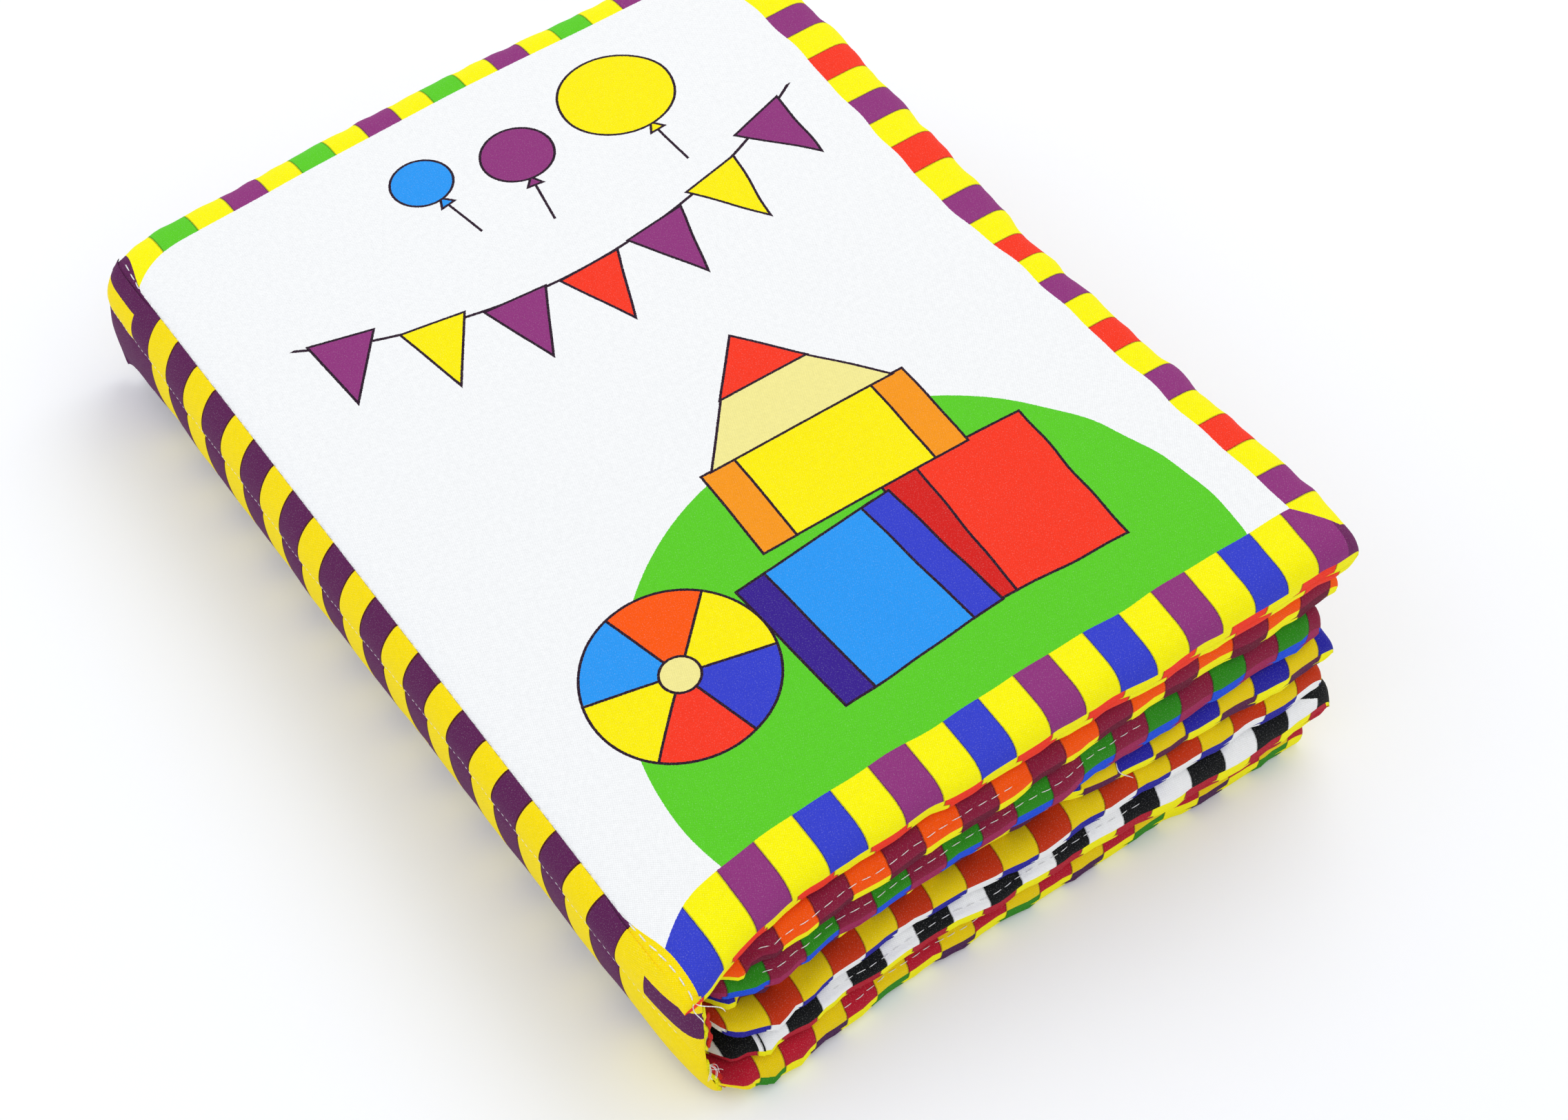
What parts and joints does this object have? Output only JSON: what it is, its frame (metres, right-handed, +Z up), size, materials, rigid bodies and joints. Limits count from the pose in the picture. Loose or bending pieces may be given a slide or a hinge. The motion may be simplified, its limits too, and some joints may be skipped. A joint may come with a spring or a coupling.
{
  "type": "baby soft book",
  "caption": "Padded cloth book with a soft stitched spine, bordered covers and hinged padded leaves that fan open towards the fore edge.",
  "frame": {"origin": "middle of the closed book's footprint, on the surface that it lies on", "axes": "X from the spine to the fore edge, Y from the tail to the head, Z up from the back cover to the front cover"},
  "size_m": [0.1448, 0.192, 0.0568],
  "materials": {
    "printed_cotton_white": "white printed woven cotton, matte",
    "printed_cotton_yellow": "yellow printed woven cotton, matte",
    "printed_cotton_orange": "orange printed woven cotton, matte",
    "printed_cotton_green": "green printed woven cotton, matte",
    "printed_cotton_blue": "blue printed woven cotton, matte",
    "printed_cotton_navy": "navy printed woven cotton, matte",
    "printed_cotton_rust": "rust red printed woven cotton, matte",
    "printed_cotton_black": "black printed woven cotton, matte",
    "printed_cotton_crimson": "crimson printed woven cotton, matte",
    "printed_cotton_purple": "purple printed woven cotton, matte",
    "polyester_wadding": "white polyester wadding"
  },
  "bodies": {
    "back_cover": {"back_cover_lining_fabric": "printed_cotton_crimson", "back_cover_outer_fabric": "printed_cotton_white", "back_cover_wadding": "polyester_wadding"},
    "leaf_5": {"leaf_5_front_fabric": "printed_cotton_black", "leaf_5_back_fabric": "printed_cotton_yellow", "leaf_5_wadding": "polyester_wadding", "spine_back_panel_outer_fabric": "printed_cotton_purple", "spine_back_panel_lining_fabric": "printed_cotton_yellow", "spine_back_panel_wadding": "polyester_wadding"},
    "leaf_4": {"leaf_4_front_fabric": "printed_cotton_rust", "leaf_4_back_fabric": "printed_cotton_white", "leaf_4_wadding": "polyester_wadding"},
    "leaf_3": {"leaf_3_front_fabric": "printed_cotton_navy", "leaf_3_back_fabric": "printed_cotton_yellow", "leaf_3_wadding": "polyester_wadding", "spine_front_panel_outer_fabric": "printed_cotton_purple", "spine_front_panel_lining_fabric": "printed_cotton_yellow", "spine_front_panel_wadding": "polyester_wadding"},
    "leaf_2": {"leaf_2_front_fabric": "printed_cotton_green", "leaf_2_back_fabric": "printed_cotton_blue", "leaf_2_wadding": "polyester_wadding"},
    "leaf_1": {"leaf_1_front_fabric": "printed_cotton_orange", "leaf_1_back_fabric": "printed_cotton_yellow", "leaf_1_wadding": "polyester_wadding"},
    "front_cover": {"front_cover_outer_fabric": "printed_cotton_white", "front_cover_lining_fabric": "printed_cotton_yellow", "front_cover_wadding": "polyester_wadding"}
  },
  "joints": [
    {"name": "leaf_5_fold", "type": "hinge", "parent": "back_cover", "child": "leaf_5", "pos_m": [-0.06559, 0, 0.0069], "axis": [0, -1, 0], "range_deg": [0, 20]},
    {"name": "leaf_4_fold", "type": "hinge", "parent": "leaf_5", "child": "leaf_4", "pos_m": [-0.06839, 0, 0.0154], "axis": [0, -1, 0], "range_deg": [0, 20]},
    {"name": "leaf_3_fold", "type": "hinge", "parent": "leaf_4", "child": "leaf_3", "pos_m": [-0.06839, 0, 0.0172], "axis": [0, -1, 0], "range_deg": [0, 20]},
    {"name": "leaf_2_fold", "type": "hinge", "parent": "leaf_3", "child": "leaf_2", "pos_m": [-0.06759, 0, 0.0248], "axis": [0, -1, 0], "range_deg": [0, 15]},
    {"name": "leaf_1_fold", "type": "hinge", "parent": "leaf_2", "child": "leaf_1", "pos_m": [-0.06759, 0, 0.0266], "axis": [0, -1, 0], "range_deg": [0, 15]},
    {"name": "front_cover_fold", "type": "hinge", "parent": "leaf_1", "child": "front_cover", "pos_m": [-0.06759, 0, 0.0284], "axis": [0, -1, 0], "range_deg": [0, 175]}
  ]
}
